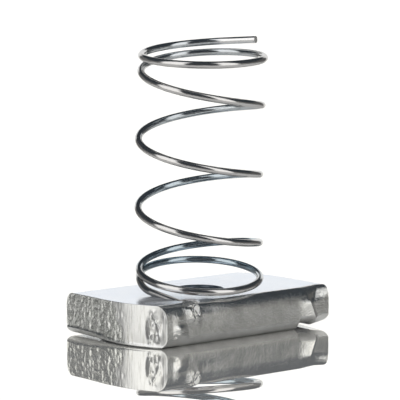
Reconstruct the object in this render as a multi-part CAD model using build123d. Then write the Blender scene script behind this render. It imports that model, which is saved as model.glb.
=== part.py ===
from build123d import *
import math
import os

# Strut spring nut: a toothed steel plate with a tapped hole, and a coil spring staked to its edge.
# Millimetres. Origin: on the axis of the tapped hole, in the plane of the plate's flat underside.
# +X runs along the plate, +Z up the spring. The staked long edge is on the -Y side.

# ---- plate: a rolled bar with rounded long edges, sheared to length ----
PLATE_LENGTH = 35.0
PLATE_THICKNESS = 6.3
PLATE_WIDTH = 20.4             # over the bulged long edges
EDGE_BULGE = 1.5               # how far a long edge stands out past the flats above and below it
TOP_ROUND = 2.3                # height of the rolled round above the upright band of the edge
LOWER_ROUND = 1.3              # height of the flatter round below that band
SWING_RADIUS = 17.5            # two opposite corners are trimmed, so that the nut turns in its channel

# ---- toothed grooves on the underside, which bite the lips of the channel ----
LIP_SLOT = 22.4                # from the inner flank of one groove to that of the other
GROOVE_MOUTH = 3.2             # width of a groove at the underside
GROOVE_DEPTH = 1.5             # to the roots of the teeth
TOOTH_HEIGHT = 0.7
TOOTH_PITCH = 1.2
FLANK_RUN = 0.9                # run of a groove's sloped flank, measured along the plate
END_LIFT = 0.4                 # the ends of the plate stay this far above the underside
END_ROUND = 0.6                # round along the lower edge of each end
PINCH_DEPTH = 0.45             # the press draws the long edges in beside each groove
PINCH_RADIUS = 1.4

# ---- tapped hole ----
THREAD_CORE = 6.8              # core bore of an M8 thread
HOLE_CHAMFER = 0.35

# ---- spring: one left-hand length of wire ----
WIRE = 1.08
COIL_RADIUS = 9.1              # to the middle of the wire
RING_HEIGHT = 2.05             # middle of the lowest turn, above the plate
COIL_PITCH = 10.45             # of the open turns
TOP_TURNS = 1.21               # from the cut end down to the middle of the first change of pitch
OPEN_TURNS = 3.2               # from there to the middle of the second change of pitch
PITCH_CHANGE = 1.0             # turns over which the pitch grows from nothing to full
WHOLE_TURNS = 5                # from the cut end to the last time the wire passes under it
END_KICK = 1.85                # the cut end springs up this far
KICK_TURNS = 0.49
CUT_END_ANGLE = -3.0           # direction of the cut end, from +X towards +Y
LEAN = 4.65                    # the spring leans off the vertical, in degrees
LEAN_ANGLE = -120.0            # towards this direction, where the stake holds it down
RING_SAG = 0.5                 # the stake pulls the near side of the lowest turn down this far
RING_SHIFT = 0.8               # and draws the turn this far off the hole's axis
BOW = 0.4                      # the open turns stand out sideways this far, halfway up
BOW_ANGLE = 141.0
POINTS_PER_TURN = 16

# ---- stake: the tail of the wire is pinched into a notch in the long edge ----
STAKE_X = -8.6                 # where the end of the wire shows in the long edge
STAKE_DEPTH = 1.1              # middle of the wire's end, below the top of the plate
STAKE_INSET = 0.25             # the wire ends this far inside the bulge of the edge
DIVE_BACK = 2.3                # the tail dives into the plate this far back along the edge
DIVE_IN = 3.3                  # and this far in from the wire's end
TAIL_TURNS = 0.18              # of a turn, over which the tail spirals out from the lowest turn
END_SLOPE = (0.3, -0.8, -0.5)  # direction in which the wire's end points
WIRE_FIT = 0.02                # clearance of the notch round the wire
SEAT_CLEARANCE = 0.05          # between the tail and the face of the plate
PUNCH_RADIUS = 0.8             # mark of the staking punch, beside the wire
PUNCH_OFFSET = 1.55            # from the wire's end to the middle of that mark
PUNCH_DEPTH = 2.2
PUNCH_BITE = 0.75              # how far in from the bulge the mark reaches

HALF_LENGTH = PLATE_LENGTH / 2
HALF_WIDTH = PLATE_WIDTH / 2
FLAT_HALF_WIDTH = HALF_WIDTH - EDGE_BULGE
GROOVE_INNER = LIP_SLOT / 2
GROOVE_OUTER = GROOVE_INNER + GROOVE_MOUTH
CREST_DEPTH = GROOVE_DEPTH - TOOTH_HEIGHT
MARGIN = 1.0                   # by which a cutting solid passes the material


def rolled_bar():
    """The bar stock: flat above and below, with long edges that are rolled round."""
    shoulder = PLATE_THICKNESS - TOP_ROUND
    with BuildPart() as bar:
        with BuildSketch(Plane.YZ):
            with BuildLine():
                Line((0, 0), (FLAT_HALF_WIDTH, 0))
                EllipticalCenterArc((FLAT_HALF_WIDTH, LOWER_ROUND), EDGE_BULGE, LOWER_ROUND,
                                    start_angle=270, arc_size=90)
                Line((HALF_WIDTH, LOWER_ROUND), (HALF_WIDTH, shoulder))
                EllipticalCenterArc((FLAT_HALF_WIDTH, shoulder), EDGE_BULGE, TOP_ROUND,
                                    start_angle=0, arc_size=90)
                Line((FLAT_HALF_WIDTH, PLATE_THICKNESS), (0, PLATE_THICKNESS))
                mirror(about=Plane.YZ)
            make_face()
        extrude(amount=HALF_LENGTH, both=True)
    return bar.part


def corner_trim():
    """What the swing trim takes off the corner at -X and -Y."""
    quadrant = Box(HALF_LENGTH + MARGIN, HALF_WIDTH + MARGIN, PLATE_THICKNESS + 2 * MARGIN,
                   align=(Align.MAX, Align.MAX, Align.MIN))
    swing = Cylinder(SWING_RADIUS, PLATE_THICKNESS + 2 * MARGIN, align=(Align.CENTER, Align.CENTER, Align.MIN))
    return Pos(0, 0, -MARGIN) * (quadrant - swing)


def groove_press():
    """What the press moves at +X: the groove down to the tooth crests, and the lift of the end."""
    with BuildPart() as press:
        with BuildSketch(Plane.XZ):
            with BuildLine():
                Line((GROOVE_INNER, 0), (GROOVE_INNER + FLANK_RUN * CREST_DEPTH / GROOVE_DEPTH, CREST_DEPTH))
                Line((GROOVE_INNER + FLANK_RUN * CREST_DEPTH / GROOVE_DEPTH, CREST_DEPTH),
                     (GROOVE_OUTER - FLANK_RUN, CREST_DEPTH))
                Line((GROOVE_OUTER - FLANK_RUN, CREST_DEPTH), (GROOVE_OUTER, END_LIFT))
                Line((GROOVE_OUTER, END_LIFT), (HALF_LENGTH - END_ROUND, END_LIFT))
                CenterArc((HALF_LENGTH - END_ROUND, END_LIFT + END_ROUND), END_ROUND,
                          start_angle=270, arc_size=90)
                Line((HALF_LENGTH, END_LIFT + END_ROUND), (HALF_LENGTH + MARGIN, END_LIFT + END_ROUND))
                Line((HALF_LENGTH + MARGIN, END_LIFT + END_ROUND), (HALF_LENGTH + MARGIN, -MARGIN))
                Line((HALF_LENGTH + MARGIN, -MARGIN), (GROOVE_INNER, -MARGIN))
                Line((GROOVE_INNER, -MARGIN), (GROOVE_INNER, 0))
            make_face()
        extrude(amount=HALF_WIDTH + MARGIN, both=True)
    return press.part


def tooth_gaps():
    """The V gaps between the teeth of the groove at +X, side by side across the plate."""
    gaps = math.ceil(PLATE_WIDTH / TOOTH_PITCH)
    first = -gaps * TOOTH_PITCH / 2
    ridge = [(first, CREST_DEPTH)]
    for i in range(gaps):
        ridge.append((first + (i + 0.5) * TOOTH_PITCH, GROOVE_DEPTH))
        ridge.append((first + (i + 1) * TOOTH_PITCH, CREST_DEPTH))
    ridge += [(-first, 0), (first, 0)]
    start = GROOVE_INNER + FLANK_RUN * CREST_DEPTH / GROOVE_DEPTH
    with BuildPart() as gap:
        with BuildSketch(Plane.YZ.offset(start)):
            with BuildLine():
                Polyline(*ridge, close=True)
            make_face()
        extrude(amount=GROOVE_OUTER - FLANK_RUN - start)
    return gap.part


def edge_pinch():
    """The hollow drawn into the long edge at -Y beside the groove at +X."""
    pinch = Cylinder(PINCH_RADIUS, PLATE_THICKNESS, align=(Align.CENTER, Align.CENTER, Align.MIN))
    return Pos(GROOVE_OUTER, -(HALF_WIDTH - PINCH_DEPTH + PINCH_RADIUS), 0) * pinch


def tapped_hole():
    """Core bore of the thread, with a small chamfer at each mouth."""
    bore = Cylinder(THREAD_CORE / 2, PLATE_THICKNESS, align=(Align.CENTER, Align.CENTER, Align.MIN))
    mouth = Cone(THREAD_CORE / 2, THREAD_CORE / 2 + HOLE_CHAMFER, HOLE_CHAMFER,
                 align=(Align.CENTER, Align.CENTER, Align.MAX))
    return bore + Pos(0, 0, PLATE_THICKNESS) * mouth + Rot(180, 0, 0) * mouth


def ease(share):
    """Runs smoothly from 0 to 1 as its share goes from 0 to 1."""
    share = min(max(share, 0.0), 1.0)
    return share * share * (3 - 2 * share)


def full_pitch_turns(turns):
    """Turns of full pitch gathered since a change of pitch that is centred on turn 0."""
    grown = min(max(turns + PITCH_CHANGE / 2, 0.0), PITCH_CHANGE)
    bend = grown / 2 - PITCH_CHANGE / (2 * math.pi) * math.sin(math.pi * grown / PITCH_CHANGE)
    return bend + max(turns - PITCH_CHANGE / 2, 0.0)


def wire_height(turn):
    """Height of the wire above the plate, measured up the spring's own axis."""
    fallen = full_pitch_turns(turn - TOP_TURNS) - full_pitch_turns(turn - TOP_TURNS - OPEN_TURNS)
    kick = END_KICK * max(1 - turn / KICK_TURNS, 0.0) ** 2
    sag = RING_SAG * ease(turn - TOP_TURNS - OPEN_TURNS + PITCH_CHANGE / 2)
    pulled_side = math.radians(CUT_END_ANGLE - LEAN_ANGLE) + 2 * math.pi * turn
    return RING_HEIGHT + COIL_PITCH * (OPEN_TURNS - fallen) + kick - sag * math.cos(pulled_side)


def level_direction(angle):
    """Unit vector in the level plane, at an angle in degrees from +X towards +Y."""
    return Vector(math.cos(math.radians(angle)), math.sin(math.radians(angle)), 0)


SPRING_UP = level_direction(LEAN_ANGLE) * math.sin(math.radians(LEAN)) + Vector(0, 0, math.cos(math.radians(LEAN)))
SPRING_FOOT = level_direction(LEAN_ANGLE) * RING_SHIFT + Vector(0, 0, PLATE_THICKNESS)
SPRING_RISE = RING_HEIGHT + COIL_PITCH * OPEN_TURNS

WIRE_END = Vector(STAKE_X, -(HALF_WIDTH - STAKE_INSET), PLATE_THICKNESS - STAKE_DEPTH)
DIVE = Vector(STAKE_X - DIVE_BACK, WIRE_END.Y + DIVE_IN, PLATE_THICKNESS + SEAT_CLEARANCE + WIRE / 2)
DIVE_ANGLE = math.degrees(math.atan2(DIVE.Y, DIVE.X)) % 360
DIVE_TURN = WHOLE_TURNS + (DIVE_ANGLE - CUT_END_ANGLE) / 360


def wire_point(turn):
    """Middle of the wire, so many turns down from the cut end. The last stretch spirals out to the dive."""
    angle = CUT_END_ANGLE + 360 * turn
    out_of_axis = level_direction(angle)
    out_of_axis = (out_of_axis - SPRING_UP * out_of_axis.dot(SPRING_UP)).normalized()
    height = wire_height(turn)
    bow = BOW * math.sin(math.pi * min(height / SPRING_RISE, 1.0))
    coil = SPRING_FOOT + out_of_axis * COIL_RADIUS + SPRING_UP * height + level_direction(BOW_ANGLE) * bow
    seat = level_direction(angle) * math.hypot(DIVE.X, DIVE.Y) + Vector(0, 0, DIVE.Z)
    out = ease((turn - DIVE_TURN) / TAIL_TURNS + 1)
    return coil * (1 - out) + seat * out


def coil_path():
    steps = round(DIVE_TURN * POINTS_PER_TURN)
    return Spline(*[wire_point(DIVE_TURN * i / steps) for i in range(steps + 1)])


def dive_path(coil):
    """The tail's last stretch, from the face of the plate down to its end in the long edge."""
    return Spline(DIVE, WIRE_END, tangents=[coil % 1, Vector(*END_SLOPE)])


def round_sweep(path, radius):
    start = Plane(origin=path @ 0, z_dir=path % 0)
    return sweep(start * Circle(radius), path=path)


def stake_notch(dive):
    """The channel that the tail lies in: as wide as the wire, and run straight out past both its ends."""
    channel = round_sweep(dive, WIRE / 2 + WIRE_FIT)
    run_out = Cylinder(WIRE / 2 + WIRE_FIT, EDGE_BULGE, align=(Align.CENTER, Align.CENTER, Align.MIN))
    channel += Plane(origin=dive @ 0, z_dir=dive % 0 * -1) * run_out
    channel += Plane(origin=dive @ 1, z_dir=dive % 1) * run_out
    return channel


def punch_mark():
    """The dent beside the wire, where the punch closed the notch."""
    punch = Cylinder(PUNCH_RADIUS, PUNCH_DEPTH + MARGIN, align=(Align.CENTER, Align.CENTER, Align.MIN))
    middle = -(HALF_WIDTH - PUNCH_BITE + PUNCH_RADIUS)
    return Pos(STAKE_X + PUNCH_OFFSET, middle, PLATE_THICKNESS - PUNCH_DEPTH) * punch


def nut_plate(dive):
    plate = rolled_bar() - tapped_hole()
    for turned in (0, 180):
        place = Rot(0, 0, turned)
        plate -= place * corner_trim()
        plate -= place * groove_press()
        plate -= place * tooth_gaps()
        plate -= place * edge_pinch()
    return plate - stake_notch(dive) - punch_mark()


def spring(coil, dive):
    return round_sweep(coil, WIRE / 2) + round_sweep(dive, WIRE / 2)


COIL = coil_path()
STAKED_TAIL = dive_path(COIL)

os.makedirs("parts", exist_ok=True)
export_step(nut_plate(STAKED_TAIL), "parts/nut_plate.step")
export_step(spring(COIL, STAKED_TAIL), "parts/spring.step")
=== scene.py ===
"""Looks of a strut spring nut: a zinc-plated toothed plate with a tapped hole, and a staked wire spring."""
import math

import bmesh
import bpy
import numpy as np
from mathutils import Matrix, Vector


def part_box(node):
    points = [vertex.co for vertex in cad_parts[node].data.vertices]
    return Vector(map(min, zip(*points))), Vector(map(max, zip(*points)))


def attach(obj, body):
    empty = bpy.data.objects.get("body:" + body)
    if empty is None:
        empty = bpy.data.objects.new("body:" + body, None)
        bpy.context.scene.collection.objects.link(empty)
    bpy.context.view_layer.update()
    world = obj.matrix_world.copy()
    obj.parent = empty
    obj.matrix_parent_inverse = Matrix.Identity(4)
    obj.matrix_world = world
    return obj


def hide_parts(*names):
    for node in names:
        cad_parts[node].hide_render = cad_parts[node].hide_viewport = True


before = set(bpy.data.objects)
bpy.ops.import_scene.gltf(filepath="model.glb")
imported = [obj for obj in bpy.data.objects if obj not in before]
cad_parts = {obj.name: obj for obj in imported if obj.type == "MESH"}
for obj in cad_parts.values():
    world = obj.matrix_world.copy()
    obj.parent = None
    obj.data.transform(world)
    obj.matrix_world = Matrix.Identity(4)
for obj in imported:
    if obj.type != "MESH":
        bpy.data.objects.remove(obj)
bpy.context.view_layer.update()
MM = 0.001
SAME_PLACE = 1e-4              # points of a skin that are this near, in millimetres, become one

# ---------------------------------------------------------------- the plate's sizes, in millimetres
PLATE_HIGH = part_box("nut_plate")[1]     # its highest corner
HALF_LENGTH = PLATE_HIGH.x / MM
HALF_WIDTH = PLATE_HIGH.y / MM
TOP = PLATE_HIGH.z / MM
EDGE_BULGE = 1.5               # how far the rolled edges stand out beyond the flats
FLAT_HALF_WIDTH = HALF_WIDTH - EDGE_BULGE
TOP_ROUND = 2.3
LOWER_ROUND = 1.5
SWING_RADIUS = HALF_LENGTH
END_ROUND_HEIGHT = 0.08        # the tiny round along the top of an end
END_ROUND_DEPTH = 0.05
END_SET_BACK = 0.14            # what an end's relief is set back by, so that it stays inside its plane
EDGE_SET_BACK = 0.06
STAKED_EDGE_REACH = 0.4        # the most that the staked edge may stand out of its rolled shape

GROOVE_INNER = 11.2
GROOVE_OUTER = 14.4
GROOVE_DEPTH = 1.5
CREST_DEPTH = 0.8
FLANK_RUN = 0.9
TOOTH_PITCH = 1.2
LIP_WIDTH = HALF_LENGTH - GROOVE_OUTER
LEAST_LIP = 0.35               # what a trimmed corner leaves of the lip outside its groove
LIP_FOOT = 0.04
LIP_RISE = 0.26
LIP_RISE_CHANGE = 0.06         # added at the +X end and taken off at the other
LIP_BEND = 0.34

HOLE_RIM = 3.75
HOLE_CHAMFER = 0.35
POCKET_RADIUS = 4.15           # the plate's wall behind the threaded sleeve
SLEEVE_OVERLAP = 0.08
# The bore's profile under either face: rim, chamfer and the step out to the pocket
BORE_DEPTHS = np.array([0, 0.12, HOLE_CHAMFER, 0.5])
BORE_RADII = np.array([HOLE_RIM, 3.6, 3.42, POCKET_RADIUS])
THREAD_CREST = 3.32
THREAD_ROOT = 4.0
THREAD_PITCH = 1.25
THREAD_SECTORS = 96

# ---------------------------------------------------------------- the spring's sizes, turns and degrees
WIRE_RADIUS = 0.54
WIRE_SECTORS = 24
PINCH = 0.2                    # share by which the stake flattens the wire's end
PINCH_FROM, PINCH_STEPS = 20, 16        # steps before the end where it starts, and steps to its full depth
COIL_RADIUS = 9.1
RING_HEIGHT = 2.05
COIL_PITCH = 10.45
TOP_TURNS = 1.21
OPEN_TURNS = 3.2
PITCH_CHANGE = 1.0
END_KICK = 1.85
KICK_TURNS = 0.49
CUT_END_ANGLE = -3.0
STRAIGHT_TURNS = 0.073         # the wire runs straight over this share of a turn up to its cut end
LEAN = 4.65
LEAN_ANGLE = -120.0
RING_SAG = 0.5
RING_SHIFT = 0.8
BOW = 0.4
BOW_ANGLE = 141.0
TAIL_START = 5.4               # turn at which the wire leaves the coil for its straight tail
COIL_STEPS, BEND_STEPS, TAIL_STEPS = 1199, 33, 45
TOUCH = np.array([-10.05, -1.1, TOP + WIRE_RADIUS + 0.04])
WIRE_END = np.array([-8.6, -9.98, TOP - 1.1])
END_FACE = np.array([-0.22, -0.97, 0.10])

# ---------------------------------------------------------------- the stage's sizes
STUDIO_TURN = -39.28           # degrees from the plate's +X to the camera's right
FLOOR_HALF = 3.0               # in metres
LENS = 208.9
CAMERA_DISTANCE = 352
CAMERA_RISE = 9.1              # degrees that the camera stands above the plate's top, and that it looks down
CAMERA_DIP = 6.92
CAMERA_SHIFT = 0.14


# ---------------------------------------------------------------- small helpers for shapes
def ease(share):
    """Smooth step: three times the square less twice the cube of a share held between 0 and 1."""
    share = np.clip(share, 0, 1)
    return share * share * (3 - 2 * share)


def window(value, low, high, run):
    """One between low and high, easing to nothing over run outside them."""
    return ease((value - low) / run + 1) * ease((high - value) / run + 1)


def close_to(value, limit, zone):
    """Nothing until a zone short of limit, easing to one at limit."""
    return ease((value - limit + zone) / zone)


def hump(x, middle, spread):
    """Bell curve of height 1: e to the minus square of the distance over the spread."""
    return np.exp(-((x - middle) / spread) ** 2)


def stations(knots, counts):
    """Values that run evenly from knot to knot, with the given number of steps in each stretch."""
    runs = [np.linspace(a, b, n, endpoint=False) for a, b, n in zip(knots, knots[1:], counts)]
    return np.concatenate(runs + [np.array([knots[-1]])])


def direction(angle):
    """Level unit vectors for angles in degrees, counted from +X towards +Y."""
    angle = np.radians(np.asarray(angle, float))
    return np.stack([np.cos(angle), np.sin(angle), 0 * angle], -1)


def grain(u, v, seed):
    """Value noise between -1 and 1: random numbers on a square lattice of pitch 1, joined by smooth steps."""
    cells = 128
    table = np.random.default_rng(seed).uniform(-1, 1, (cells, cells))
    iu, iv = np.floor(u).astype(int), np.floor(v).astype(int)
    fu, fv = ease(u - iu), ease(v - iv)

    def corner(a, b):
        return table[(iu + a) % cells, (iv + b) % cells]

    near = corner(0, 0) * (1 - fu) + corner(1, 0) * fu
    far = corner(0, 1) * (1 - fu) + corner(1, 1) * fu
    return near * (1 - fv) + far * fv


def quads(shape, first, wrap=False):
    """Corner numbers of the quads of a grid of points whose numbering starts at first."""
    index = first + np.arange(shape[0] * shape[1]).reshape(shape)
    if wrap:
        index = np.concatenate([index, index[:, :1]], axis=1)
    return np.stack([index[:-1, :-1], index[:-1, 1:], index[1:, 1:], index[1:, :-1]], -1).reshape(-1, 4)


def finished_piece(mesh, finish_of_face, finishes, sharp):
    """A mesh as an object: faces turned outwards and smooth, with edges of over sharp degrees left sharp."""
    for finish in finishes:
        mesh.materials.append(finish)
    mesh.polygons.foreach_set("material_index", finish_of_face.astype(np.int32))
    skin = bmesh.new()
    skin.from_mesh(mesh)
    bmesh.ops.recalc_face_normals(skin, faces=skin.faces)
    skin.to_mesh(mesh)
    skin.free()
    mesh.polygons.foreach_set("use_smooth", np.ones(len(mesh.polygons), bool))
    mesh.set_sharp_from_angle(angle=math.radians(sharp))
    mesh.update()
    piece = bpy.data.objects.new(mesh.name, mesh)
    bpy.context.scene.collection.objects.link(piece)
    return piece


def merged_piece(name, points, faces, finish_of_face, finishes):
    """A piece from arrays in millimetres: points that coincide are merged, and faces left with no area go."""
    places = np.round(points / SAME_PLACE).astype(np.int64)
    _, first, merged = np.unique(places, axis=0, return_index=True, return_inverse=True)
    faces = merged.reshape(-1)[faces]
    whole = np.all(faces != np.roll(faces, 1, axis=1), axis=1)
    mesh = bpy.data.meshes.new(name)
    mesh.from_pydata((points[first] * MM).tolist(), [], faces[whole].tolist())
    return finished_piece(mesh, finish_of_face[whole], finishes, sharp=35)


# ---------------------------------------------------------------- the plate's grid lines and section
# Stretches of the bar between its ends, its grooves and its stake, and the number of steps in each
STAKE_FROM, STAKE_TO = -10.4, -5.9
SIDE_KNOTS = [-HALF_LENGTH, -GROOVE_OUTER, -GROOVE_INNER, STAKE_FROM, STAKE_TO,
              GROOVE_INNER, GROOVE_OUTER, HALF_LENGTH]
SIDE_STEPS = [14, 18, 6, 58, 60, 36, 26]
SIDE_X = stations(SIDE_KNOTS, SIDE_STEPS)
END_SHARE = stations([-1, 1], [170])
RING_CROWDING = 1.6            # how fast the rings of a land crowd together outwards
LOW_ANGLES = np.linspace(0, math.pi / 2, 15)
HIGH_ANGLES = np.linspace(0, math.pi / 2, 25)
ROW_HEIGHTS = np.concatenate([
    LOWER_ROUND * (1 - np.cos(LOW_ANGLES[:-1])),
    np.linspace(LOWER_ROUND, TOP - TOP_ROUND, 16),
    TOP - TOP_ROUND * (1 - np.sin(HIGH_ANGLES[1:])),
])


def half_width(height):
    """Half the bar's width at a height: the flats' half width plus a quarter ellipse, above and below."""
    above = np.clip((height - TOP + TOP_ROUND) / TOP_ROUND, 0, 1)
    below = np.clip((LOWER_ROUND - height) / LOWER_ROUND, 0, 1)
    return FLAT_HALF_WIDTH + EDGE_BULGE * np.sqrt(1 - np.maximum(above, below) ** 2)


def end_reach(y, end):
    """Length of the plate from its middle at y: square on one side, the swing circle on the other."""
    trimmed = y * end > 0
    return np.where(trimmed, np.sqrt(SWING_RADIUS ** 2 - y ** 2), HALF_LENGTH)


def lip_lift(mark, y, end):
    """Height of a lip's underside: it rests on its trimmed corner and rises smoothly to its square one.

    The lip at +X is bent up further, the more so towards its end."""
    square = ease((-y * end + 9) / 18)
    out = np.clip((mark - GROOVE_OUTER) / LIP_WIDTH, -0.5, 1)
    bent = LIP_BEND * np.maximum(end, 0) * square ** 2 * out
    return LIP_FOOT + (LIP_RISE + LIP_RISE_CHANGE * end) * square + bent


def underside(mark, y, end):
    """Height of the pressed underside: flank, V teeth between crest and root, second flank, lifted lip.

    A triangle wave along y gives the teeth, and the lowest of the two flanks and the teeth is the surface.
    The teeth fade out near the long edges, and the groove before the trimmed corner's long edge."""
    share = np.abs(y) / FLAT_HALF_WIDTH
    wave = np.abs((y / TOOTH_PITCH) % 1 - 0.5) * 2
    teeth = CREST_DEPTH + (GROOVE_DEPTH - CREST_DEPTH) * (1 - wave) * ease((0.97 - share) / 0.06)
    lift = lip_lift(mark, y, end)
    inner = (mark - GROOVE_INNER) * GROOVE_DEPTH / FLANK_RUN
    outer = lift + (GROOVE_OUTER - mark) * (GROOVE_DEPTH - lift) / FLANK_RUN
    pressed = np.minimum(np.minimum(inner, outer), teeth)
    pressed = np.where(mark < GROOVE_INNER, 0, np.where(mark > GROOVE_OUTER, lift, pressed))
    return pressed * (1 - 0.95 * ease((y * end / FLAT_HALF_WIDTH - 0.86) / 0.12))


def lip_round(y, end):
    """Radius of the round along the lower edge of an end: small on its trimmed side and larger on its square
    one, where the +X end's grows once more."""
    return 0.25 + 0.6 * ease((-y * end + 4) / 9) + 0.5 * np.maximum(end, 0) * ease((-y * end - 7.5) / 2.5)


def bar_point(mark, share, row):
    """A point of the sheared and pressed bar.

    mark runs along the plate with the grooves at fixed values, share runs across it from -1 to 1, and row
    is the height before pressing. The lower edge of each end is a quarter circle, and the upper a tiny
    quarter ellipse. Above the lower round the width goes by the height after pressing."""
    end = np.sign(mark)
    size = np.abs(mark)
    y = share * half_width(row)
    raised = underside(size, y, end) * (1 - row / TOP)
    y = share * half_width(row + raised * ease((row - LOWER_ROUND) / (TOP - TOP_ROUND - LOWER_ROUND)))
    radius = lip_round(y, end)
    low = np.clip(1 - row / radius, 0, 1)
    high = np.clip(1 - (TOP - row) / END_ROUND_HEIGHT, 0, 1)
    rounds = radius * (1 - np.sqrt(1 - low ** 2)) + END_ROUND_DEPTH * (1 - np.sqrt(1 - high ** 2))
    reach = end_reach(y, end) - rounds
    edge = np.minimum(GROOVE_OUTER, reach - LEAST_LIP)
    groove = GROOVE_INNER + (size - GROOVE_INNER) / (GROOVE_OUTER - GROOVE_INNER) * (edge - GROOVE_INNER)
    lip = edge + (size - GROOVE_OUTER) / LIP_WIDTH * (reach - edge)
    x = end * np.where(size < GROOVE_INNER, size, np.where(size < GROOVE_OUTER, groove, lip))
    bottom = underside(size, y, end)
    return np.stack([x, y, bottom + row * (1 - bottom / TOP)], -1)


# ---------------------------------------------------------------- what shearing, pressing and staking left
def tear(y, z, end):
    """How far a point of an end lies on the smeared side of the ragged line where the tear starts.

    The line leans: from the middle of the plate at the top to well inside the trimmed part at the bottom."""
    ragged = 0.5 * grain(y / 0.7 + 3, z / 0.9, 70) + 0.3 * grain(y / 0.25, z / 0.6, 71)
    return y * end - 4.0 + 0.48 * z + ragged


def chip(y, z, end, seed):
    """How far a chip beside a corner stands out of the smeared part: a ragged oval of broad and fine facets.

    A bent notch crosses it, and a crescent along its inner side is its deepest part."""
    across = (y * end - 8.35) / 1.15
    up = (z - 2.9) / 2.7
    ragged = 0.3 * grain(y / 0.5, z / 0.6, seed + 10)
    inside = ease((1.0 + ragged - across ** 2 - up ** 2) / 0.6)
    facets = np.abs(grain(y / 0.55, z / 1.5, seed + 8)) + 0.25 * np.abs(grain(y / 0.22, z / 0.5, seed + 9))
    notch_line = 0.45 - 0.6 * up - 0.5 * up ** 2
    notch = -0.13 * hump(across, notch_line, 0.12) * window(up, -0.2, 0.6, 0.3)
    crescent_line = -0.8 + 0.4 * up ** 2
    crescent = -0.24 * hump(across, crescent_line, 0.15) * ease((0.95 + ragged - np.abs(up)) / 0.4)
    return inside * (0.3 * facets - 0.13 + notch) + crescent


def fracture(y, z, end):
    """How far a sheared end stands out of its plane.

    The square part is torn, with streaks up the end, coarse and fine crumbs, pits and a slow wave. The
    trimmed part is smeared, with faint lines up it that come and go in patches, and has the chip. A shallow
    ledge follows the line between the two."""
    seed = 40 if end < 0 else 60
    from_tear = tear(y, z, end)
    rough = ease(0.5 - from_tear / 0.9)
    streak = grain(y / 0.5, z / 1.9, seed) * 0.06 + grain(y / 0.24, z / 0.8, seed + 1) * 0.035
    crumbs_and_pit_shade = grain(y / 0.2, z / 0.2, seed + 2) * 0.038 + grain(y / 0.38, z / 0.38, seed + 3) * 0.03
    pit = -0.2 * np.clip(grain(y / 0.6, z / 0.6, seed + 4) - 0.4, 0, 1)
    wave = grain(y / 2.7, z / 3.1, seed + 5) * 0.08
    band = ease((z - 0.5) / 0.5) * ease((TOP + 0.1 - z) / 0.4)
    torn = (streak + crumbs_and_pit_shade + pit) * (0.25 + 0.75 * band) + wave
    patch = np.clip(grain(y / 1.9, z / 1.6, seed + 11) + 0.5, 0.15, 1)
    smear = grain(y / 0.26, z / 1.5, seed + 6) * 0.022 * patch + grain(y / 1.4, z / 2.5, seed + 7) * 0.03
    ledge = -0.05 * hump(from_tear, 0.6, 0.4) * ease((z - 2.5) / 2)
    return rough * torn + (1 - rough) * (smear + chip(y, z, end, seed)) + ledge


def edge_swell(x, z, side):
    """How far a long edge stands out of its rolled shape beside the two grooves.

    Along the plate a slow swelling grows up to one groove and ends at a leaning step, beyond which the edge
    is set in. There the lip's upper half is pressed back in a V, whose lowest line leans the other way, over
    a nearly flat lower half. At the other groove there is a low boss with a fainter shoulder over it and a
    bent dent under it. The whole edge has slow rolling waves, and the far one a quarter of the marks."""
    ahead = x * -side
    waves = 0.015 * grain(x / 2.3, z / 1.9, 80) + 0.008 * grain(x / 0.7, z / 0.9, 81)
    swell_start = 10.9
    step = 15.08 - 0.4 * z
    past = ahead - step
    climb = np.clip((ahead - swell_start) / (step - swell_start), 0, 1)
    swelling = 0.43 * climb ** 1.8 * (past < 0) * window(z, 1.8, 3.8, 1.2)
    set_in = -0.17 * ease(past / 0.9) * window(z, 1.4, 4.4, 0.9)
    fold = np.maximum(14.4 + 0.73 * (z - 4.0), step + 0.4)
    falling = np.clip(past / (fold - step), 0, 1)
    rising = np.clip((ahead - fold) / (HALF_LENGTH - fold), 0, 1)
    upper = np.clip((z - 3.94 - 0.126 * (ahead - 14.39)) / 1.2, 0, 1)
    pressed = -0.66 * (falling - rising) * upper * (past > 0)
    boss = 0.24 * ease((ahead + 13.2) / 1.4) * (1 - ease((ahead + 11.8) / 1.6)) * window(z, 1.9, 2.7, 0.9)
    shoulder = 0.08 * ease((ahead + 13.4) / 1.2) * (1 - ease((ahead + 12.2) / 1.6)) * window(z, 3.0, 4.4, 0.9)
    dent_line = 1.7 - 0.5 * (ahead + 12.6) ** 2
    dent = -0.1 * hump(ahead, -12.6, 0.45) * hump(z, dent_line, 0.2)
    marks = swelling + set_in + pressed + boss + shoulder + dent
    return marks * np.where(side < 0, 1, 0.25) + (waves - EDGE_SET_BACK) * window(z, 1.5, 4.5, 1.4)


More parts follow.
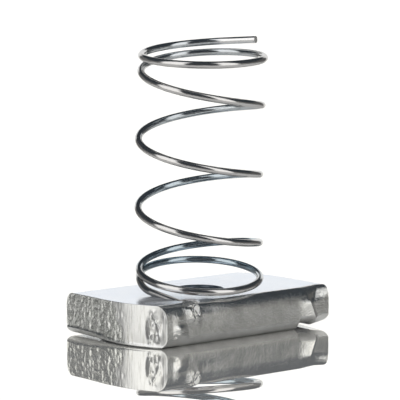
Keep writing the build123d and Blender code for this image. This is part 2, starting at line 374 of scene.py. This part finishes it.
def stake_marks(x, z):
    """How far the staking moved the long edge.

    A flare ends at a hard curved brink. Beyond it a lip, shaded by a groove under it, closes over the wire's
    end, which has a seat pressed round it. A dent and a pressed upper edge come back slowly along the plate,
    two burrs lean out of them, and crumbs lie round the wire."""
    brink = -9.25 - 0.2 * np.maximum(z - 3.7, 0) ** 2
    climb = np.clip((x - brink + 1.5) / 1.5, 0, 1)
    flare = 0.18 * climb ** 1.6 * (x < brink) * window(z, 4.1, 5.6, 0.6)
    lip = (0.16 + 0.17 * (x + 9.4)) * hump(z, TOP - 0.26, 0.2) * window(x, -10.4, -8.5, 0.2)
    under_lip = -0.12 * hump(z, TOP - 0.6, 0.1) * window(x, -10.2, -8.7, 0.3)
    off = np.hypot((x - WIRE_END[0]) / 0.5, (z - WIRE_END[2]) / 0.68)
    seat = -0.16 * hump(off, 1.22, 0.2) * (x > brink)
    dent = -0.1 * ease((x + 8.6) / 1.1) * (1 - ease((x + 7.4) / 4.4)) * window(z, 3.3, 5.0, 1.2)
    pressed = -0.1 * ease((z - 4.3) / 1.0) * ease((x + 8.4) / 0.5) * (1 - ease((x + 7.2) / 4.4))
    upright_burr = 0.26 * hump(x - 0.4 * (z - 5.02), -7.88, 0.15) * hump(z, 5.02, 0.2)
    sloping_burr = 0.3 * hump(z + 0.55 * (x + 8.48), 4.28, 0.14) * hump(x, -8.48, 0.3)
    crumbs = 0.05 * grain(x / 0.2, z / 0.2, 90) * hump(off, 1.6, 0.5)
    return flare + lip + under_lip + seat + dent + pressed + upright_burr + sloping_burr + crumbs


def top_marks(x, y):
    """How far the staking moved the top face: a slot under the tail, a fold, a crumpled heap and a sag.

    The slot is a bell curve across the tail's line, the fold closes it at the edge, the heap lies beside the
    fold, and past the heap the face sags smoothly towards the edge."""
    tail_x = WIRE_END[0] + (y - WIRE_END[1]) * (TOUCH[0] - WIRE_END[0]) / (TOUCH[1] - WIRE_END[1])
    slot = -0.24 * hump(x, tail_x, 0.34) * window(y, -8.1, -7.0, 0.8)
    fold = 0.24 * hump(y, -8.95, 0.34) * window(x, -10.1, -8.9, 0.45)
    sag = -0.58 * ease((-7.2 - y) / 3.0) * window(x, -7.1, -5.5, 1.4)
    heap = (0.17 + 0.09 * grain(x / 0.3, y / 0.25, 91)) * hump(x, -7.6, 0.62) * hump(y, -8.55, 0.42)
    return slot + fold + heap + sag


def worked_bar(mark, share, row):
    """Points of the finished bar: ends moved in along x, long edges moved along y, and the top along z.

    An end's relief fades towards the long edges, and starts above its lower round."""
    points = bar_point(mark, share, row)
    x, y, z = points[..., 0], points[..., 1], points[..., 2]
    end = np.sign(mark)
    side = np.sign(share)
    at_end = close_to(np.abs(mark), HALF_LENGTH, 0.7)
    corner = 1 - 0.6 * close_to(np.abs(share), 1, 0.015)
    above_round = ease((row - lip_round(y, end)) / 0.25)
    relief = np.where(end < 0, fracture(y, z, -1), fracture(y, z, 1)) - END_SET_BACK
    x = x + end * at_end * corner * above_round * np.minimum(relief, 0)
    at_side = close_to(np.abs(share), 1, 0.1)
    swell = np.where(side < 0, edge_swell(x, z, -1) + stake_marks(x, z), edge_swell(x, z, 1))
    room = np.maximum(np.where(side < 0, STAKED_EDGE_REACH, 0), HALF_WIDTH - np.abs(y))
    y = y + side * at_side * np.minimum(swell, room)
    return np.stack([x, y, z + close_to(row, TOP, 0.3) * top_marks(x, y)], -1)


# ---------------------------------------------------------------- the plate
FLAT, EDGE, TORN, GROOVE, BORE, SMEARED = range(6)


def once_round(run):
    """Marks and shares once round a stretch of the bar: along it, across, back along and across again."""
    along, across = len(run) - 1, len(END_SHARE) - 1
    mark = np.concatenate([run[:-1], np.full(across, run[-1]), run[:0:-1], np.full(across, run[0])])
    share = np.concatenate([np.full(along, -1.0), END_SHARE[:-1], np.full(along, 1.0), END_SHARE[:0:-1]])
    return mark, share


def plate_grids():
    """The plate's skin as named grids of points: a belt, four end flats, two lands and the bore.

    The belt goes once round the bar, row over row. A land runs straight from the hole's rim to the rim of the
    bar between the grooves, in rings that come closer together outwards. The bore is a turned profile."""
    mark, share = once_round(SIDE_X)
    grids = [("belt", worked_bar(*np.broadcast_arrays(mark[:, None], share[:, None], ROW_HEIGHTS)))]
    rim_mark, rim_share = once_round(SIDE_X[np.abs(SIDE_X) <= GROOVE_INNER + 1e-9])
    for face, height, rings in (("top", TOP, 21), ("bottom", 0.0, 6)):
        for end in (-1, 1):
            run = SIDE_X[SIDE_X * end >= GROOVE_INNER - 1e-9]
            mark, share = np.meshgrid(run, END_SHARE, indexing="ij")
            grids.append((face + "_end", worked_bar(mark, share, np.full(mark.shape, height))))
        rim = worked_bar(rim_mark, rim_share, np.full(rim_mark.shape, height))
        rim[:, 2] = height
        turn = np.arctan2(rim[:, 1], rim[:, 0])
        hole = np.stack([HOLE_RIM * np.cos(turn), HOLE_RIM * np.sin(turn), rim[:, 2]], -1)
        part = 1 - (1 - np.linspace(0, 1, rings)) ** RING_CROWDING
        land = hole[:, None] + part[None, :, None] * (rim - hole)[:, None]
        if face == "top":
            land[..., 2] += top_marks(land[..., 0], land[..., 1])
            bore_turn = turn
        grids.append((face + "_land", land))
    heights = np.concatenate([TOP - BORE_DEPTHS, [TOP / 2], BORE_DEPTHS[::-1]])
    radii = np.concatenate([BORE_RADII, [POCKET_RADIUS], BORE_RADII[::-1]])
    bore = np.stack([radii * np.cos(bore_turn)[:, None], radii * np.sin(bore_turn)[:, None],
                     np.broadcast_to(heights, (len(bore_turn), len(heights)))], -1)
    return grids + [("bore", bore)]


def belt_finish(middle, column):
    """Finish of each face of the belt, from its middle and its place round the belt.

    The ends are torn on one side of the tear and smeared on the other, and all else is rolled edge: the long
    sides, and the round under each end, whose upper border wavers a little."""
    x, y, z = middle.T
    side, across = len(SIDE_X) - 1, len(END_SHARE) - 1
    at_end = column % (side + across) >= side
    end = np.sign(x)
    border = lip_lift(HALF_LENGTH, y, end) + lip_round(y, end) + 0.12 * grain(y / 0.6, x * 0, 70)
    return np.where(at_end & (z > border), np.where(tear(y, z, end) > 0, SMEARED, TORN), EDGE)


def plate_piece(finishes):
    """The toothed plate as one closed skin, whose finishes go by grid and, on the belt, by face."""
    points, faces, finish = [], [], []
    count = 0
    for name, grid in plate_grids():
        ring = name in ("belt", "bore", "top_land", "bottom_land")
        looped = grid.transpose(1, 0, 2) if ring else grid
        corners = quads(looped.shape[:2], count, wrap=ring)
        flat = looped.reshape(-1, 3)
        middle = flat[corners - count].mean(1)
        if name == "belt":
            kind = belt_finish(middle, np.arange(len(corners)) % looped.shape[1])
        elif name == "bottom_end":
            kind = np.where(np.abs(middle[:, 0]) < GROOVE_OUTER + 0.1, GROOVE, FLAT)
        else:
            kind = np.full(len(corners), BORE if name == "bore" else FLAT)
        points.append(flat)
        faces.append(corners)
        finish.append(kind)
        count += len(flat)
    return merged_piece("toothed_plate", np.concatenate(points), np.concatenate(faces),
                        np.concatenate(finish), finishes)


# ---------------------------------------------------------------- the thread in the hole
def thread_piece(finishes):
    """A sleeve: its inside is a right-hand screw, a triangle wave of radius over height less turn.

    The wave is stretched and cut off at the crest and the root, which leaves both of them flat. The sleeve's
    profile closes on itself: up the screw, out over the top, down the outside and back under."""
    turns = np.linspace(0, 1, THREAD_SECTORS, endpoint=False)[:, None]
    heights = np.linspace(HOLE_CHAMFER, TOP - HOLE_CHAMFER, THREAD_SECTORS + 1)
    phase = (heights / THREAD_PITCH - turns) % 1
    depth = np.clip(2.6 * np.abs(phase - 0.5) - 0.12, 0, 1)
    screw = THREAD_CREST + (THREAD_ROOT - THREAD_CREST) * depth
    radius = np.concatenate([screw, np.full((THREAD_SECTORS, 2), POCKET_RADIUS + SLEEVE_OVERLAP)], 1)
    height = np.broadcast_to(np.concatenate([heights, heights[[-1, 0]]]), radius.shape)
    angle = turns * 2 * math.pi
    points = np.stack([radius * np.cos(angle), radius * np.sin(angle), height], -1)
    closed = np.concatenate([points, points[:, :1]], 1).transpose(1, 0, 2)
    corners = quads(closed.shape[:2], 0, wrap=True)
    return merged_piece("hole_thread", closed.reshape(-1, 3), corners, np.zeros(len(corners)), finishes)


# ---------------------------------------------------------------- the spring
def full_pitch_turns(turn):
    """Turns of full pitch gathered since a change of pitch centred on turn 0: a sine blend, then straight."""
    grown = np.clip(turn + PITCH_CHANGE / 2, 0, PITCH_CHANGE)
    bend = grown / 2 - PITCH_CHANGE / (2 * math.pi) * np.sin(math.pi * grown / PITCH_CHANGE)
    return bend + np.maximum(turn - PITCH_CHANGE / 2, 0)


def wire_height(turn):
    """Height up the spring's axis: rise less the turns fallen, with the kick of the cut end and the sag."""
    fallen = full_pitch_turns(turn - TOP_TURNS) - full_pitch_turns(turn - TOP_TURNS - OPEN_TURNS)
    kick = END_KICK * np.maximum(1 - turn / KICK_TURNS, 0) ** 2
    sag = RING_SAG * ease(turn - TOP_TURNS - OPEN_TURNS + PITCH_CHANGE / 2)
    pulled_side = math.radians(CUT_END_ANGLE - LEAN_ANGLE) + 2 * math.pi * turn
    return RING_HEIGHT + COIL_PITCH * (OPEN_TURNS - fallen) + kick - sag * np.cos(pulled_side)


SPRING_UP = direction(LEAN_ANGLE) * math.sin(math.radians(LEAN)) + [0, 0, math.cos(math.radians(LEAN))]
SPRING_FOOT = direction(LEAN_ANGLE) * RING_SHIFT + [0, 0, TOP]
SPRING_RISE = RING_HEIGHT + COIL_PITCH * OPEN_TURNS


def coil_line(turn):
    """Middle of the wire: a left-hand helix on a leaning axis that bows out halfway."""
    out = direction(CUT_END_ANGLE + 360 * turn)
    out = out - (out @ SPRING_UP)[:, None] * SPRING_UP
    out /= np.linalg.norm(out, axis=1)[:, None]
    height = wire_height(turn)[:, None]
    bow = BOW * np.sin(math.pi * np.minimum(height / SPRING_RISE, 1))
    return SPRING_FOOT + out * COIL_RADIUS + height * SPRING_UP + bow * direction(BOW_ANGLE)


def wire_line():
    """The whole wire's middle line: a straight cut end, the coil, a bend down to the plate, a straight tail.

    Seen from above, the cut end runs on along the coil's tangent. The bend is a cubic with the directions of
    the coil and the tail at its two ends."""
    coil = coil_line(np.linspace(0, TAIL_START, COIL_STEPS + 1))
    free = round(STRAIGHT_TURNS / TAIL_START * COIL_STEPS)
    back = np.arange(free, 0, -1)[:, None]
    coil[:free, :2] = coil[free, :2] + back * (coil[free, :2] - coil[free + 1, :2])
    start, finish = coil[-1] - coil[-2], WIRE_END - TOUCH
    length = np.linalg.norm(TOUCH - coil[-1])
    start = start / np.linalg.norm(start) * length
    finish = finish / np.linalg.norm(finish) * length
    s = np.linspace(0, 1, BEND_STEPS + 1)[1:, None]
    bend = ((2 * s ** 3 - 3 * s ** 2 + 1) * coil[-1] + (s ** 3 - 2 * s ** 2 + s) * start
            + (3 * s ** 2 - 2 * s ** 3) * TOUCH + (s ** 3 - s ** 2) * finish)
    tail = TOUCH + (WIRE_END - TOUCH) * np.linspace(0, 1, TAIL_STEPS + 1)[1:, None]
    return np.concatenate([coil, bend, tail])


def spring_piece(finishes):
    """A round section carried along the wire's line, pinched where it is staked, with flat discs for ends.

    Its map runs round the wire in whole turns and along it in millimetres from the cut end."""
    line = wire_line()
    ahead = np.gradient(line, axis=0)
    ahead /= np.linalg.norm(ahead, axis=1)[:, None]
    side = np.cross(ahead, SPRING_UP)
    side /= np.linalg.norm(side, axis=1)[:, None]
    over = np.cross(side, ahead)
    around = np.linspace(0, 2 * math.pi, WIRE_SECTORS, endpoint=False)[None, :, None]
    pinch = PINCH * ease((np.arange(len(line)) - len(line) + PINCH_FROM) / PINCH_STEPS)[:, None, None]
    tube = line[:, None] + WIRE_RADIUS * ((1 - pinch) * np.cos(around) * side[:, None]
                                          + (1 + pinch) * np.sin(around) * over[:, None])
    tube[-1] -= ((tube[-1] - WIRE_END) @ END_FACE)[:, None] * ahead[-1] / (ahead[-1] @ END_FACE)
    rows, sectors = tube.shape[:2]
    corners = quads((rows, sectors), 0, wrap=True)
    mesh = bpy.data.meshes.new("wire_spring")
    caps = [list(range(sectors)), list(range((rows - 1) * sectors, rows * sectors))]
    mesh.from_pydata((tube.reshape(-1, 3) * MM).tolist(), [], corners.tolist() + caps)
    run = np.concatenate([[0], np.cumsum(np.linalg.norm(np.diff(line, axis=0), axis=1))])
    row, sector = np.divmod(np.arange(len(corners)), sectors)
    u = (sector[:, None] + np.array([0, 1, 1, 0])) / sectors
    v = run[row[:, None] + np.array([0, 0, 1, 1])]
    cap_uv = np.stack([0.5 + 0.5 * np.cos(around.ravel()), 0.5 + 0.5 * np.sin(around.ravel())], -1)
    uv = np.concatenate([np.stack([u, v], -1).reshape(-1, 2), cap_uv, cap_uv])
    mesh.uv_layers.new(name="wire").uv.foreach_set("vector", uv.ravel())
    kind = np.zeros(len(mesh.polygons))
    kind[-len(caps):] = 1
    return finished_piece(mesh, kind, finishes, sharp=50)


# ---------------------------------------------------------------- materials
# The studio's directions: the camera's right, away from the camera, and up
RIGHT = direction(STUDIO_TURN)
AWAY = direction(STUDIO_TURN + 90)
UP = (0, 0, 1)


class Signal:
    """A shader value that can be added, subtracted and multiplied, each time with one Math node."""

    def __init__(self, finish, socket):
        self.finish = finish
        self.socket = socket

    def join(self, operation, other, turned=False):
        """The Math node of an operation on this value and another, the other first where turned."""
        pair = (other, self) if turned else (self, other)
        return self.finish.node("ShaderNodeMath", {"operation": operation}, {0: pair[0], 1: pair[1]})

    def __add__(self, other):
        return self.join("ADD", other)

    def __sub__(self, other):
        return self.join("SUBTRACT", other)

    def __rsub__(self, other):
        return self.join("SUBTRACT", other, turned=True)

    def __mul__(self, other):
        return self.join("MULTIPLY", other)

    __radd__ = __add__
    __rmul__ = __mul__

    def ramp(self, low, high, bottom=0.0, top=1.0):
        """A smooth step from bottom to top as the value goes from low to high."""
        return self.finish.node("ShaderNodeMapRange", {"interpolation_type": "SMOOTHSTEP"},
                                {0: self, 1: low, 2: high, 3: bottom, 4: top})


class Finish:
    """The node tree of a material or a world, with one method that adds any node."""

    def __init__(self, owner):
        owner.use_nodes = True
        self.owner = owner
        self.tree = owner.node_tree
        self.tree.nodes.clear()

    def node(self, kind, settings=None, inputs=None, output=0):
        """Add a node: its type, its settings or a ramp's stops, then the values or links of its sockets."""
        made = self.tree.nodes.new(kind)
        for key, value in (settings or {}).items():
            if key == "stops":
                elements = made.color_ramp.elements
                while len(elements) < len(value):
                    elements.new(0.5)
                for element, (place, colour) in zip(elements, value):
                    element.position = place
                    element.color = (*colour, 1)
            else:
                setattr(made, key, value)
        for key, value in (inputs or {}).items():
            if isinstance(value, Signal):
                self.tree.links.new(value.socket, made.inputs[key])
            else:
                made.inputs[key].default_value = value
        return Signal(self, made.outputs[output]) if made.outputs else None

    def place(self, scale=(1, 1, 1)):
        """Object coordinates in millimetres, stretched by scale."""
        here = self.node("ShaderNodeTexCoord", output="Object")
        return self.node("ShaderNodeMapping", None, {"Vector": here, "Scale": tuple(s / MM for s in scale)})

    def noise(self, where, scale, detail=3.0, roughness=0.55):
        """Cloudy noise, about 0.5 on average."""
        return self.node("ShaderNodeTexNoise", None,
                         {"Vector": where, "Scale": scale, "Detail": detail, "Roughness": roughness})

    def along(self, vector, axis):
        """How far a vector reaches along an axis: their dot product."""
        return self.node("ShaderNodeVectorMath", {"operation": "DOT_PRODUCT"},
                         {0: vector, 1: tuple(axis)}, output="Value")

    def blend(self, factor, first, second):
        """Colour that runs from first to second as factor goes from 0 to 1."""
        return self.node("ShaderNodeMix", {"data_type": "RGBA"}, {0: factor, 6: first, 7: second}, output=2)

    def bump(self, height, depth):
        """A bump whose height of 1 stands depth millimetres proud."""
        return self.node("ShaderNodeBump", None, {"Strength": 1.0, "Distance": depth * MM, "Height": height})

    def metal(self, colour, roughness, normal, glance=(1, 1, 1, 1), metallic=1.0):
        """The finished metal, whose colour, roughness and normal may be signals.

        glance tints flat glances, and a metallic under 1 lets the plating's fine grain scatter some light."""
        surface = self.node("ShaderNodeBsdfPrincipled", None,
                            {"Metallic": metallic, "Base Color": colour, "Roughness": roughness,
                             "Specular Tint": glance, "Normal": normal})
        self.node("ShaderNodeOutputMaterial", None, {0: surface})
        return self.owner


def new_finish(name):
    """An empty material to build a finish in."""
    return Finish(bpy.data.materials.new(name))


def tint(red, green, blue):
    """An opaque colour."""
    return (red, green, blue, 1.0)


def plated_flat():
    """Bright zinc on the rolled flats: long soft waves, cloudy blueish passivation and light scuffs.

    It scatters a little light, and has a brown stain, ragged at its border, round the stake."""
    finish = new_finish("plated_flat")
    place = finish.place()
    cloud = finish.noise(place, 0.35, 4.0)
    scuff = finish.noise(finish.place((0.35, 2.2, 1)), 1.6, 5.0, 0.65)
    fine = finish.noise(place, 3.2, 4.0, 0.6)
    colour = finish.blend(cloud.ramp(0.35, 0.7), tint(0.75, 0.79, 0.84), tint(0.80, 0.82, 0.845))
    colour = finish.blend(scuff.ramp(0.58, 0.8) * 0.5, colour, tint(0.63, 0.64, 0.665))
    from_stake = finish.node("ShaderNodeVectorMath", {"operation": "DISTANCE"},
                             {0: place, 1: (-7.9, -7.3, TOP)}, output="Value")
    stain = (from_stake + 1.4 * fine).ramp(1.5, 2.1, 0.9, 0.0)
    colour = finish.blend(stain, colour, tint(0.27, 0.235, 0.21))
    roughness = 0.08 + 0.1 * scuff + 0.05 * fine
    height = finish.noise(place, 0.22, 1.0) + 0.02 * fine
    return finish.metal(colour, roughness, finish.bump(height, 0.035), tint(0.84, 0.86, 0.89), metallic=0.75)


def rolled_edge():
    """Plated skin of the rolled edges: cloudy, with fine grains all over and faint upright rubbing."""
    finish = new_finish("rolled_edge")
    place = finish.place()
    grains = finish.noise(place, 4.2, 4.0, 0.6)
    rubbed = finish.noise(finish.place((1.0, 1.0, 0.16)), 3.0, 4.0, 0.6)
    cloud = finish.noise(place, 0.5, 3.0)
    colour = finish.blend(cloud.ramp(0.35, 0.7), tint(0.81, 0.81, 0.785), tint(0.925, 0.925, 0.90))
    roughness = 0.09 + 0.07 * rubbed + 0.05 * grains
    height = 0.7 * grains + 0.25 * rubbed
    return finish.metal(colour, roughness, finish.bump(height, 0.055))


def sheared_end():
    """Plated skin over the torn part of an end: streaks up it, crumbs, and painted shade in pits between
    them.
    """
    finish = new_finish("sheared_end")
    place = finish.place()
    streak = finish.noise(finish.place((1.0, 1.0, 0.22)), 2.6, 5.0, 0.62)
    crumbs_and_pit_shade = finish.noise(place, 4.6, 5.0, 0.68)
    colour = finish.blend(streak.ramp(0.32, 0.68), tint(0.72, 0.735, 0.69), tint(0.93, 0.93, 0.90))
    # Painted shade: the colour goes dark where the crumbs' bump is lowest, in the pits between them.
    colour = finish.blend(crumbs_and_pit_shade.ramp(0.30, 0.46), tint(0.29, 0.29, 0.28), colour)
    height = 0.5 * streak + 0.7 * crumbs_and_pit_shade
    return finish.metal(colour, 0.18 + 0.16 * crumbs_and_pit_shade, finish.bump(height, 0.06))


def smeared_end():
    """Plated skin over the smeared part of an end: bright, with fine broken lines up it."""
    finish = new_finish("smeared_end")
    lines = finish.noise(finish.place((1.0, 1.0, 0.09)), 3.4, 4.0, 0.6)
    broad = finish.noise(finish.place((1.0, 1.0, 0.3)), 0.9, 3.0)
    colour = finish.blend(lines.ramp(0.34, 0.5), tint(0.745, 0.745, 0.71), tint(0.96, 0.96, 0.94))
    colour = finish.blend(broad.ramp(0.35, 0.65) * 0.25, colour, tint(0.86, 0.87, 0.87))
    height = 0.8 * lines + 0.3 * finish.noise(finish.place(), 3.0, 3.0)
    return finish.metal(colour, 0.24 + 0.1 * lines, finish.bump(height, 0.035))


def pressed_groove():
    """Plated skin in the grooves, duller and greyer than the flats and rubbed along the plate."""
    finish = new_finish("pressed_groove")
    rubbed = finish.noise(finish.place((0.3, 1.2, 1.2)), 3.0, 4.0, 0.6)
    fine = finish.noise(finish.place(), 6.0, 3.0, 0.6)
    colour = finish.blend(rubbed.ramp(0.3, 0.7), tint(0.68, 0.69, 0.70), tint(0.88, 0.88, 0.88))
    return finish.metal(colour, 0.22 + 0.16 * rubbed, finish.bump(0.5 * fine + 0.4 * rubbed, 0.03))


def shaded_tapped_wall():
    """Plated skin inside the hole: thin and dull, coloured dark as painted shade of the bore."""
    finish = new_finish("shaded_tapped_wall")
    smear = finish.noise(finish.place((1.0, 1.0, 2.0)), 2.0, 4.0, 0.6)
    # Painted shade: a dark blue-grey colour stands in for the shade inside the hole.
    colour = finish.blend(smear.ramp(0.3, 0.7), tint(0.11, 0.145, 0.18), tint(0.25, 0.29, 0.34))
    return finish.metal(colour, 0.3 + 0.2 * smear, finish.bump(smear, 0.02))


def drawn_wire():
    """Bright zinc over drawn wire: die lines that run along it, small specks, and slow changes of tint.

    The side that faces the studio's backdrop is painted darker and cooler, a painted reflection, less so up
    the spring, and the stretch by the cut end is painted paler, a painted highlight."""
    finish = new_finish("drawn_wire")
    map_place = finish.node("ShaderNodeUVMap", {"uv_map": "wire"})
    stretched = finish.node("ShaderNodeMapping", None, {"Vector": map_place, "Scale": (1.0, 0.02, 1)})
    lines = finish.noise(stretched, 26.0, 3.0)
    place = finish.place()
    wander = finish.noise(place, 0.4, 3.0)
    speck = finish.noise(place, 4.5, 3.0, 0.6)
    # Painted reflection: the coil's far half, towards the backdrop, gets a darker blue-grey colour, less of
    # it higher up the spring.
    far_side = (finish.along(place, AWAY) + 6.0 * wander).ramp(-4.0, 8.0)
    painted_cool_reflection = far_side * finish.along(place, UP).ramp(12.0, 40.0, 1.0, 0.45)
    colour = finish.blend(painted_cool_reflection, tint(0.77, 0.755, 0.74), tint(0.58, 0.67, 0.725))
    colour = finish.blend(speck.ramp(0.62, 0.78) * 0.35, colour, tint(0.47, 0.48, 0.505))
    # Painted highlight: the wire's first 5 mm from the cut end is painted pale, fading out by 7.5 mm, and is
    # a little rougher.
    from_cut = finish.node("ShaderNodeSeparateXYZ", None, {0: map_place}, output="Y")
    cut_end_highlight = from_cut.ramp(5.0, 7.5, 1.0, 0.0)
    colour = finish.blend(cut_end_highlight, colour, tint(0.95, 0.94, 0.93))
    roughness = 0.07 + 0.07 * lines + 0.04 * speck + 0.06 * cut_end_highlight
    return finish.metal(colour, roughness, finish.bump(0.6 * lines + 0.3 * speck, 0.01), tint(0.7, 0.7, 0.7))


def wire_cut():
    """The sheared face at the wire's ends: bright, with a fine tear."""
    finish = new_finish("wire_cut")
    torn = finish.noise(finish.place(), 4.0, 4.0, 0.65)
    colour = finish.blend(torn.ramp(0.3, 0.7), tint(0.81, 0.81, 0.79), tint(0.96, 0.96, 0.94))
    return finish.metal(colour, 0.3 + 0.2 * torn, finish.bump(torn, 0.06))


# ---------------------------------------------------------------- the stage
BLACK, WHITE = tint(0, 0, 0), tint(1, 1, 1)
DARK_WALL = (.027, .033, .04)
SOFT_BOX = (.95, .95, .95)


def grey(shade, warm=1.0):
    """A grey whose blue is taken down to the share warm."""
    return (shade, shade, shade * warm)


# Walls by degrees from the camera's right, with the backdrop at 90 and the camera at 270
LOW_WALLS = [
    (0, grey(.09)), (40, grey(.08)), (58, grey(.10)), (64, grey(1.0)), (116, grey(1.0)), (122, grey(.12)),
    (150, grey(.13)), (188, grey(.14)), (196, SOFT_BOX), (234, SOFT_BOX), (240, grey(.05)), (297, grey(.05)),
    (303, SOFT_BOX), (332, SOFT_BOX), (338, grey(.178, 0.95)), (349, grey(.168, 0.95)), (357, grey(.09)),
    (360, grey(.09))]
HIGH_WALLS = [
    (0, DARK_WALL), (188, DARK_WALL), (196, SOFT_BOX), (234, SOFT_BOX), (240, DARK_WALL),
    (297, DARK_WALL), (303, SOFT_BOX), (332, SOFT_BOX), (338, DARK_WALL), (360, DARK_WALL)]


def studio():
    """White walls and dark gaps by direction: a backdrop behind, a soft box at each front side, dark above.

    The low walls give way to the high ones at 9 to 14 degrees up, or 20 to 25 over the backdrop, and these to
    the dark at 62 to 76. What the floor mirrors in a ray's first bounces is a white room instead, and matt
    things are lit from behind the object."""
    sky = Finish(bpy.data.worlds.new("studio"))
    bpy.context.scene.world = sky.owner
    ray = sky.node("ShaderNodeTexCoord", output="Generated")
    away = sky.along(ray, AWAY)
    turn = away.join("ARCTAN2", sky.along(ray, RIGHT)) * (1 / (2 * math.pi)) + 1.0
    turn = sky.node("ShaderNodeMath", {"operation": "FRACT"}, {0: turn})
    rise = sky.node("ShaderNodeMath", {"operation": "ARCSINE"}, {0: sky.along(ray, UP)}) * math.degrees(1)

    def walls_round(walls):
        stops = [(degrees / 360, colour) for degrees, colour in walls]
        return sky.node("ShaderNodeValToRGB", {"stops": stops}, {0: turn})

    def path(kind):
        return sky.node("ShaderNodeLightPath", output=kind)

    above_low = (rise - 11.0 * away.ramp(0.4, 0.52)).ramp(9.0, 14.0)
    walls = sky.blend(above_low, walls_round(LOW_WALLS), walls_round(HIGH_WALLS))
    walls = sky.blend(rise.ramp(62.0, 76.0), walls, tint(*DARK_WALL))
    from_floor = path("Is Singular Ray") * path("Ray Depth").join("LESS_THAN", 2.5)
    walls = sky.blend(from_floor, walls, WHITE)
    mirrored = path("Is Glossy Ray") + path("Is Transmission Ray")
    scattered = path("Is Diffuse Ray")
    behind = away.ramp(0.0, 0.6) * rise.ramp(50.0, 75.0, 1.0, 0.25)
    fill = sky.blend(scattered, WHITE, sky.blend(behind, BLACK, WHITE))
    shade = sky.blend(mirrored, fill, walls)
    light = sky.node("ShaderNodeBackground", None, {0: shade, 1: 1.0 + 0.15 * mirrored + 0.9 * scattered})
    sky.node("ShaderNodeOutputWorld", None, {0: light})


def floor_piece():
    """A polished white sheet, pale from above, which mirrors all the more the flatter it is looked at."""
    mesh = bpy.data.meshes.new("floor")
    rim = [(-FLOOR_HALF, -FLOOR_HALF, 0), (FLOOR_HALF, -FLOOR_HALF, 0),
           (FLOOR_HALF, FLOOR_HALF, 0), (-FLOOR_HALF, FLOOR_HALF, 0)]
    mesh.from_pydata(rim, [], [(0, 1, 2, 3)])
    finish = new_finish("polished_sheet")
    facing = finish.node("ShaderNodeLayerWeight", None, {"Blend": 0.5}, output="Facing")
    matt = finish.node("ShaderNodeBsdfDiffuse", None, {"Color": tint(0.86, 0.86, 0.86)})
    gloss = finish.node("ShaderNodeBsdfGlossy", None, {"Color": tint(1, 0.99, 0.955), "Roughness": 0.0})
    mirror = facing.ramp(0.68, 0.79, 0.0, 0.88)
    mixed = finish.node("ShaderNodeMixShader", None, {0: mirror, 1: matt, 2: gloss})
    finish.node("ShaderNodeOutputMaterial", None, {0: mixed})
    mesh.materials.append(finish.owner)
    floor = bpy.data.objects.new("floor", mesh)
    bpy.context.scene.collection.objects.link(floor)


def camera():
    """A long lens, a little above the plate's top, aimed at the middle of the spring."""
    lens = bpy.data.cameras.new("camera")
    lens.lens = LENS
    lens.sensor_width = 36.0
    lens.clip_start = 0.01
    eye = bpy.data.objects.new("camera", lens)
    bpy.context.scene.collection.objects.link(eye)
    rise = math.radians(CAMERA_RISE)
    dip = math.radians(CAMERA_DIP)
    back = CAMERA_DISTANCE * (-AWAY * math.cos(rise) + [0, 0, math.sin(rise)])
    eye.location = (np.array([0, 0, TOP]) + CAMERA_SHIFT * RIGHT + back) * MM
    look = Vector(AWAY * math.cos(dip) - [0, 0, math.sin(dip)])
    eye.rotation_euler = look.to_track_quat("-Z", "Y").to_euler()
    bpy.context.scene.camera = eye


# ---------------------------------------------------------------- put together
ZINC = [plated_flat(), rolled_edge(), sheared_end(), pressed_groove(), shaded_tapped_wall(), smeared_end()]
plate = plate_piece(ZINC)
thread = thread_piece([ZINC[BORE]])
spring = spring_piece([drawn_wire(), wire_cut()])
SLOTS = ((plate, "zinc_plated_plate"), (thread, "zinc_plated_plate"), (spring, "zinc_plated_wire"))
for piece, slot in SLOTS:
    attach(piece, "root")
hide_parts("nut_plate")
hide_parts("spring")
studio()
floor_piece()
camera()
bpy.context.scene.view_settings.view_transform = "Standard"
